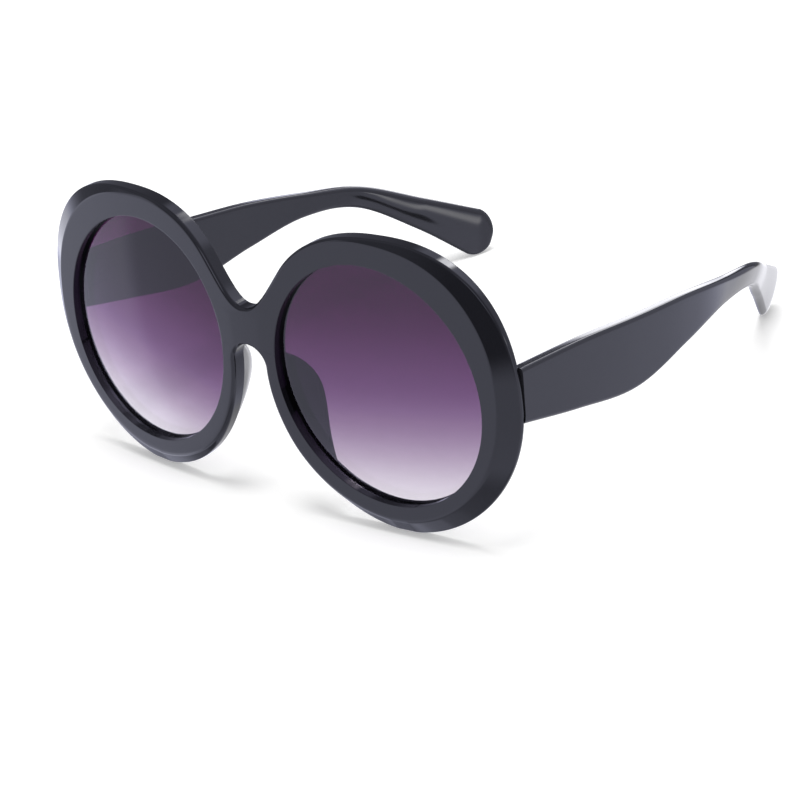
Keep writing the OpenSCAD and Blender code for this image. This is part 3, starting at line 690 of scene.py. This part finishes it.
# %% A node tree under construction
class Finish:
    """A material or a world whose nodes are being put together."""

    def __init__(self, owner):
        self.owner = owner
        owner.use_nodes = True
        self.tree = owner.node_tree
        self.tree.nodes.clear()

    def node(self, kind, settings=None, inputs=None, output=0):
        """Adds a node, its settings first and then its inputs' values or links, and returns an output."""
        made = self.tree.nodes.new("ShaderNode" + kind)
        for key, value in (settings or {}).items():
            setattr(made, key, value)
        for key, value in (inputs or {}).items():
            if isinstance(value, Signal):
                self.tree.links.new(value.socket, made.inputs[key])
            else:
                made.inputs[key].default_value = value
        return Signal(self, made.outputs[output])

    def maths(self, operation, a, b=0.0):
        """One operation on two numbers or signals."""
        return self.node("Math", {"operation": operation}, {0: a, 1: b})

    def step(self, value, low, high):
        """Smooth step: 0 at low, 1 at high, and 3s^2 - 2s^3 for a share s of the way between."""
        ends = {"Value": value, "From Min": low, "From Max": high}
        return self.node("MapRange", {"interpolation_type": "SMOOTHSTEP"}, ends)

    def band(self, value, low, high, soft):
        """1 between low and high, 0 outside: a step up at low times one minus a step up at high."""
        return self.step(value, low - soft, low + soft) * (1 - self.step(value, high - soft, high + soft))

    def tint(self, share, first, second):
        """A colour that is the first where the share is 0 and the second where it is 1. A Mix node holds
        its colours in inputs 6 and 7, and gives their mix in output 2."""
        return self.node("Mix", {"data_type": "RGBA"}, {0: share, 6: (*first, 1), 7: (*second, 1)}, 2)

    def layer(self, share, below, above):
        """One shader over another, whose share of the light goes from 0 to 1."""
        return self.node("MixShader", inputs={0: share, 1: below, 2: above})

    def show(self, shader, kind="OutputMaterial"):
        """Links the finished shader to the output, and returns the material or world."""
        out = self.tree.nodes.new("ShaderNode" + kind)
        self.tree.links.new(shader.socket, out.inputs["Surface"])
        return self.owner


print("ways to add nodes:", [name for name in vars(Finish) if not name.startswith("_")])

# %% [markdown]
# ### Polished plastic
#
# The front, the temples and the pads are polished, nearly black plastic, so almost all that is seen of them
# is reflection. A plain Principled shader would look too perfect, and a picture of scratches would repeat.
# Here a slight waviness, as the mould and the tumbling leave it, bends the reflections, and a faint
# haze varies the roughness. Both are noise on Object coordinates, so they move with the piece.

# %% Plastic material
MOULD_WAVES = {"Scale": 55.0, "Detail": 2.0}
FINE_WAVES = {"Scale": 900.0, "Detail": 3.0}
WAVE_DEPTH = 0.0004  # metres
FINE_SHARE, HAZE, LIGHTER = 0.02, 0.04, 1.5
PLASTIC_IOR = 1.5


def plastic(name, base, rough, wave):
    """The base colour grows to LIGHTER times itself with the broad waves, the roughness by the haze, and
    the bump's height is the broad waves plus a small share of the fine ones."""
    f = Finish(bpy.data.materials.new(name))
    spot = f.node("TexCoord", output="Object")
    broad = f.node("TexNoise", inputs={"Vector": spot, **MOULD_WAVES})
    fine = f.node("TexNoise", inputs={"Vector": spot, **FINE_WAVES})
    height = broad + fine * FINE_SHARE
    return f.show(f.node("BsdfPrincipled", inputs={
        "Base Color": f.tint(broad, base, [c * LIGHTER for c in base]),
        "Roughness": rough + broad * HAZE,
        "IOR": PLASTIC_IOR,
        "Normal": f.node("Bump", inputs={"Strength": wave, "Distance": WAVE_DEPTH, "Height": height}),
    }))


front_plastic = plastic("polished_front_plastic", base=(0.005, 0.005, 0.007), rough=0.05, wave=0.03)
temple_plastic = plastic("polished_temple_plastic", base=(0.012, 0.012, 0.015), rough=0.08, wave=0.04)
pad_plastic = plastic("polished_pad_plastic", base=(0.008, 0.008, 0.011), rough=0.1, wave=0.04)
print("plastics:", front_plastic.name, temple_plastic.name, pad_plastic.name)

# %% [markdown]
# ### Gradient lens
#
# A gradient lens is dipped in dye, so it is darkest above and nearly clear below, and it takes colour out
# of what is seen through it. It could be glass with an absorbing body, which is slow and noisy in so thin a
# piece. Here the body is made of Transparent shaders, whose colour multiplies what lies behind. Light
# crosses two skins, so each carries the square root of the tint. Each lens has its own slight slant of the
# dye, so its levels climb towards the temple. A thin mirror lies over them and grows at grazing angles.

# %% Lens material
PLUM, VIOLET, CLEAR = (0.0265, 0.0014, 0.0229), (0.123, 0.053, 0.146), (0.98, 0.99, 0.99)
CLEAR_TO_VIOLET, VIOLET_TO_PLUM = (-5.8, 39.6), (28.8, 64.2)  # levels in millimetres
DYE_TILT, TILT_DIFFERENCE = 0.178, 0.065
DYE_CLOUDS, DYE_WAVE = {"Scale": 30.0, "Detail": 1.0}, 1.2
LEAST_MIRROR, MIRROR_POWER, MIRROR_ROUGH = 0.04, 5.0, 0.02


def lens_tint(name):
    """The level is the height, less the way outboard of the lens's middle times the tilt, plus faint noise.
    The mirror's share is the least one plus the rest times a power of how far the surface turns away."""
    f = Finish(bpy.data.materials.new(name))
    spot = f.node("TexCoord", output="Object")
    across, height = (f.node("SeparateXYZ", inputs={0: spot}, output=axis) for axis in "XZ")
    dye = f.node("TexNoise", inputs={"Vector": spot, **DYE_CLOUDS})
    outboard = f.maths("ABSOLUTE", across) / MM - EYE[0]
    tilt = DYE_TILT - TILT_DIFFERENCE * f.maths("SIGN", across)
    level = height / MM - outboard * tilt + dye * DYE_WAVE - DYE_WAVE / 2
    plum, violet, clear = (
        f.node("BsdfTransparent", inputs={"Color": (*[math.sqrt(c) for c in colour], 1)})
        for colour in (PLUM, VIOLET, CLEAR)
    )
    body = f.layer(f.step(level, *CLEAR_TO_VIOLET), clear, violet)
    body = f.layer(f.step(level, *VIOLET_TO_PLUM), body, plum)
    facing = f.node("LayerWeight", inputs={"Blend": 0.5}, output="Facing")
    mirror = f.node("BsdfGlossy", inputs={"Color": (1, 1, 1, 1), "Roughness": MIRROR_ROUGH})
    return f.show(f.layer(LEAST_MIRROR + (1 - LEAST_MIRROR) * facing**MIRROR_POWER, body, mirror))


lens_material = lens_tint("dyed_lens")
print("lens material:", lens_material.name, "with", len(lens_material.node_tree.nodes), "nodes")

# %% [markdown]
# ### Steel
#
# Real hinge leaves are stamped, tumbled and plated black, so they are satin with a fine grain. The screws
# are turned and a little brighter, and the wire inside each temple is bare. A picture of brushed metal
# would need unwrapped pieces. Here noise that is stretched along one axis gives the grain, because it fits
# any shape as it is.

# %% Steel material
STEEL_GRAIN = {"Scale": 900.0, "Detail": 4.0}
GRAIN_SHADE, GRAIN_ROUGH, GRAIN_BUMP, GRAIN_DEPTH = 0.82, 0.12, 0.15, 0.00005


def steel(name, colour, rough, stretch):
    """The colour goes from GRAIN_SHADE times itself to itself with the grain, and the roughness and the
    bump grow with it. The stretch multiplies the coordinates, so the grain is long where it is small."""
    f = Finish(bpy.data.materials.new(name))
    spot = f.node("TexCoord", output="Object")
    grain_spot = f.node("Mapping", inputs={"Vector": spot, "Scale": stretch})
    grain = f.node("TexNoise", inputs={"Vector": grain_spot, **STEEL_GRAIN})
    return f.show(f.node("BsdfPrincipled", inputs={
        "Base Color": f.tint(grain, [c * GRAIN_SHADE for c in colour], colour),
        "Metallic": 1.0,
        "Roughness": rough + grain * GRAIN_ROUGH,
        "Normal": f.node("Bump", inputs={"Strength": GRAIN_BUMP, "Distance": GRAIN_DEPTH, "Height": grain}),
    }))


ALONG_Z, ALONG_Y, FAR_ALONG_Y = (1.0, 1.0, 0.08), (1.0, 0.08, 1.0), (1.0, 0.04, 1.0)
hinge_steel = steel("black_plated_hinge_steel", colour=(0.045, 0.045, 0.05), rough=0.26, stretch=ALONG_Z)
screw_steel = steel("black_plated_screw_steel", colour=(0.07, 0.07, 0.075), rough=0.16, stretch=ALONG_Y)
wire_steel = steel("drawn_wire_steel", colour=(0.62, 0.62, 0.6), rough=0.24, stretch=FAR_ALONG_Y)
print("steels:", hinge_steel.name, screw_steel.name, wire_steel.name)

# %% [markdown]
# ## Putting the glasses together
#
# On real glasses the lenses and pads go with the front, and each temple turns on its own hinge. Every new
# piece could be parented by hand. Here one helper gives it its finish, the body that it moves with, and the
# CAD nodes that it stands for, so that nothing is left behind when a temple folds. The hinges, screws and
# wires stay the CAD's own.


# %% Give each piece its finish and its body
def dress(piece, material, body, slot, *nodes):
    """The piece's finish, the body it moves with, its material slot, which is not used, and the CAD nodes
    it stands for.
    """
    piece.data.materials.clear()
    piece.data.materials.append(material)
    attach(piece, body)
    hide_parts(*nodes)


dress(front, front_plastic, "front", "front_plastic", "front_frame")
for side in ("left", "right"):
    dress(lenses[side], lens_material, "front", "tinted_lens", f"lens_{side}")
    dress(pads[side], pad_plastic, "front", "pad_plastic", f"nose_pad_{side}")
    dress(temples[side], temple_plastic, f"temple_{side}", "temple_plastic", f"temple_{side}")
    for node, material in [
        ("hinge_front_leaf", hinge_steel),
        ("hinge_temple_leaf", hinge_steel),
        ("hinge_screw", screw_steel),
        ("front_leaf_screws", screw_steel),
        ("temple_leaf_screws", screw_steel),
        ("temple_core", wire_steel),
    ]:
        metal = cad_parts[f"{node}_{side}"]
        metal.data.materials.clear()
        metal.data.materials.append(material)
        print(metal.name, "is", material.name)

# %% [markdown]
# ## Camera, floor and light
#
# The camera stands where the photograph was taken from: in front, to the glasses' left, and a little above.
# It could be aimed by eye. Here its place, its angles and its angle of view are those fitted to the
# outlines in the photograph, so that a render can be compared with it point by point.

# %% Camera
AZIMUTH, ELEVATION, ROLL = (math.radians(angle) for angle in (40.728, 25.119, -5.688))
CAMERA_PLACE = np.array([374.093, -460.253, 273.633]) * MM
FOCAL_PIXELS, PHOTO_WIDTH, SENSOR_WIDTH = 2494.27, 800, 36.0
level = math.cos(ELEVATION)
back = np.array([math.sin(AZIMUTH) * level, -math.cos(AZIMUTH) * level, math.sin(ELEVATION)])
level_right = np.array([math.cos(AZIMUTH), math.sin(AZIMUTH), 0])
level_up = np.cross(back, level_right)
right = level_right * math.cos(ROLL) + level_up * math.sin(ROLL)
up = level_up * math.cos(ROLL) - level_right * math.sin(ROLL)
camera_data = bpy.data.cameras.new("camera")
camera_data.sensor_width = SENSOR_WIDTH
camera_data.lens = SENSOR_WIDTH * FOCAL_PIXELS / PHOTO_WIDTH
camera_data.clip_start, camera_data.clip_end = 0.01, 20
camera = bpy.data.objects.new("camera", camera_data)
bpy.context.scene.collection.objects.link(camera)
camera.matrix_world = Matrix([[*right, 0], [*up, 0], [*back, 0], [*CAMERA_PLACE, 1]]).transposed()
bpy.context.scene.camera = camera
print("focal length in millimetres:", camera_data.lens)

# %% [markdown]
# ### Floor
#
# The glasses stand on a plain white table that fades into a white background. A curved backdrop would do
# that too. Here a large flat floor is enough, because it glows faintly for the camera alone and so meets
# the white world without an edge, and it still takes the glasses' shadow.

# %% Floor
FLOOR_HALF = 4.0
FLOOR_WHITE = (0.97, 0.97, 0.97, 1)
FLOOR_GLOW = 0.3
floor_corners = [(x * FLOOR_HALF, y * FLOOR_HALF, 0) for x, y in [(-1, -1), (1, -1), (1, 1), (-1, 1)]]
floor_mesh = bpy.data.meshes.new("floor")
floor_mesh.from_pydata(floor_corners, [], [(0, 1, 2, 3)])
floor = bpy.data.objects.new("floor", floor_mesh)
bpy.context.scene.collection.objects.link(floor)
table_top = Finish(bpy.data.materials.new("white_floor"))
matt = {"Base Color": FLOOR_WHITE, "Roughness": 0.9, "Specular IOR Level": 0.0}
lit = table_top.node("BsdfPrincipled", inputs=matt)
glow_strength = table_top.node("LightPath", output="Is Camera Ray") * FLOOR_GLOW
glow = table_top.node("Emission", inputs={"Color": (1, 1, 1, 1), "Strength": glow_strength})
floor_mesh.materials.append(table_top.show(table_top.node("AddShader", inputs={0: lit, 1: glow})))
print("floor:", 2 * FLOOR_HALF, "metres wide")

# %% [markdown]
# ### What the plastic reflects
#
# A photographer shapes polished black with what stands round it: a white table, a dim room, and a few
# lamps. These could be real lamps and cards, but small ones make noise, and they would light the
# floor. Here the world holds them as a pattern that only reflections see, and all else gets an even white.

# %% Directions
# Angles are in degrees. The azimuth is 0 in front of the glasses and 90 on their left. The rear angle is 0
# straight behind them and 90 on their right. A window is a stretch of such an angle. With three numbers it
# is a band: start, stop, and the softness of both ends. With two it is a step: its 0 place and its 1 place.
DEGREES = 57.3  # in a radian, rounded
LEANING, SLANTING = 0.5, 0.9  # how a lamp's sides lean with the elevation or slant with the rear angle


def directions(f):
    """The angles of what is reflected: arc tangents of its x and y, and the arc sine of its z."""
    way = f.node("TexCoord", output="Generated")
    x, y, z = (f.node("SeparateXYZ", inputs={0: way}, output=axis) for axis in "XYZ")
    azimuth = f.maths("ARCTAN2", x, y * -1.0) * DEGREES
    rear = f.maths("ARCTAN2", x * -1.0, y) * DEGREES
    elevation = f.maths("ARCSINE", z) * DEGREES
    return {
        "azimuth": azimuth,
        "rear": rear,
        "elevation": elevation,
        "leaning": azimuth + LEANING * elevation,
        "slanting": elevation + SLANTING * rear,
    }


def add_patches(f, base, angles, patches):
    """The base, plus for each patch its amount times the product of its windows."""
    for amount, windows in patches:
        for name, ends in windows.items():
            window = f.band if len(ends) == 3 else f.step
            amount = amount * window(angles[name], *ends)
        base = base + amount
    return base


print("degrees in a radian:", DEGREES)

# %% Table, room and lamps
TABLE_LIGHT, ROOM_LIGHT, HORIZON_HEIGHT, HORIZON_SOFT = 0.98, 0.36, 1.0, 5

# The white table is brighter on the right, on the left and straight behind, and duller behind on the left.
# Painted shade: a part on the right, which the glasses shade, is dark, and so is their own shade straight
# below.
TABLE_PATCHES = [
    (0.17, {"azimuth": (-62, -12, 10)}),
    (0.55, {"azimuth": (-112, -58, 3)}),
    (0.5, {"azimuth": (-112, -87, 4)}),
    (0.15, {"azimuth": (84, 108, 6)}),
    (-0.12, {"azimuth": (110, 155, 8)}),
    (0.55, {"rear": (-20, 32, 6), "elevation": (-32, -12, 3)}),
    (0.4, {"rear": (-20, 2, 6), "elevation": (-32, -12, 3)}),
]
# Painted shade of the glasses on the table, on the right and low
PAINTED_TABLE_SHADE = [(-0.65, {"azimuth": (-134, -96, 5), "elevation": (-18, -28)})]
OWN_SHADE = [(-0.5, {"elevation": (-50, -64)})]

# The table's far edge, in degrees above the level
HORIZON_PATCHES = [
    (13.0, {"azimuth": (-48, -25, 5)}),
    (-15.0, {"azimuth": (-20, 22)}),
    (26.0, {"azimuth": (81, 122, 9)}),
    (-7.0, {"azimuth": (-63, -73)}),
    (-8.0, {"azimuth": (-113, -121)}),
]

# The room is darkest in front and on the right, lighter overhead and on the left. A strip shines in front
# on the right.
ROOM_PATCHES = [
    (-0.2, {"azimuth": (-8, 40, 14), "elevation": (-30, 22, 8)}),
    (0.12, {"elevation": (30, 60)}),
    (-0.16, {"azimuth": (-85, -105)}),
    (0.3, {"azimuth": (95, 130)}),
    (0.8, {"azimuth": (-60, -43, 5), "elevation": (-15, 36, 5)}),
]

# A box in front on the left, three lamps behind (soft, slanting and narrow), and a low one on the left
LAMPS = [
    (1.05, {"leaning": (37, 60, 5), "elevation": (12, 38, 4)}),
    (0.6, {"rear": (-35, 26, 5), "elevation": (32, 52, 4)}),
    (4.2, {"slanting": (29, 44, 3), "rear": (0, 38, 6)}),
    (8.0, {"elevation": (41, 48, 1.5), "rear": (-4, 9, 3)}),
    (2.6, {"azimuth": (101, 113, 3), "elevation": (3.6, 8.2, 1.4)}),
]
COOL, NEUTRAL = (0.93, 0.95, 1.2), (0.97, 0.97, 1.03)
NEUTRAL_LIGHT = (1.3, 2.6)  # bright light loses its blue between these strengths
NEUTRAL_TABLE = [(1.0, {"rear": (-14, 40, 8), "elevation": (-60, -8, 3)})]
print("patches of light:", len(TABLE_PATCHES) + len(ROOM_PATCHES) + len(LAMPS))

# %% World
AROUND = 0.5  # the even white that lights everything; the camera sees it at full strength


def studio(world):
    """The table times one minus the step at the horizon, the room times that step, and the lamps."""
    f = Finish(world)
    angles = directions(f)
    table = add_patches(f, TABLE_LIGHT, angles, TABLE_PATCHES)
    table = table * add_patches(f, 1, angles, PAINTED_TABLE_SHADE) * add_patches(f, 1, angles, OWN_SHADE)
    room = add_patches(f, ROOM_LIGHT, angles, ROOM_PATCHES)
    horizon = add_patches(f, HORIZON_HEIGHT, angles, HORIZON_PATCHES)
    above = f.step(angles["elevation"] - horizon, -HORIZON_SOFT, HORIZON_SOFT)
    light = add_patches(f, table * (1 - above) + room * above, angles, LAMPS)
    calm = add_patches(f, f.step(light, *NEUTRAL_LIGHT), angles, NEUTRAL_TABLE)
    reflected = f.node("Background", inputs={"Color": f.tint(calm, COOL, NEUTRAL), "Strength": light})
    seen = f.node("LightPath", output="Is Camera Ray")
    even = f.node("Background", inputs={"Color": (1, 1, 1, 1), "Strength": AROUND + (1 - AROUND) * seen})
    f.show(f.layer(f.node("LightPath", output="Is Glossy Ray"), even, reflected), "OutputWorld")


bpy.context.scene.world = bpy.data.worlds.new("studio")
studio(bpy.context.scene.world)
print("nodes of the world:", len(bpy.context.scene.world.node_tree.nodes))

# %% [markdown]
# ### Light from above
#
# The faint soft shadow under the glasses comes from light above them. A large area lamp could give it, but
# falls off with its distance. Here a broad sun lamp shines straight down, the same everywhere.

# %% Overhead lamp
SUN_STRENGTH, SUN_SIZE = 1.6, math.radians(30)
overhead_data = bpy.data.lights.new("overhead", "SUN")
overhead_data.energy, overhead_data.angle = SUN_STRENGTH, SUN_SIZE
overhead = bpy.data.objects.new("overhead", overhead_data)
bpy.context.scene.collection.objects.link(overhead)

# The world's pattern holds the table and the lamps, so no reflection shows the real ones too
overhead.visible_glossy = False
floor.visible_glossy = False
bpy.context.scene.view_settings.view_transform = "Standard"
print("overhead lamp:", overhead_data.energy)

# %% [markdown]
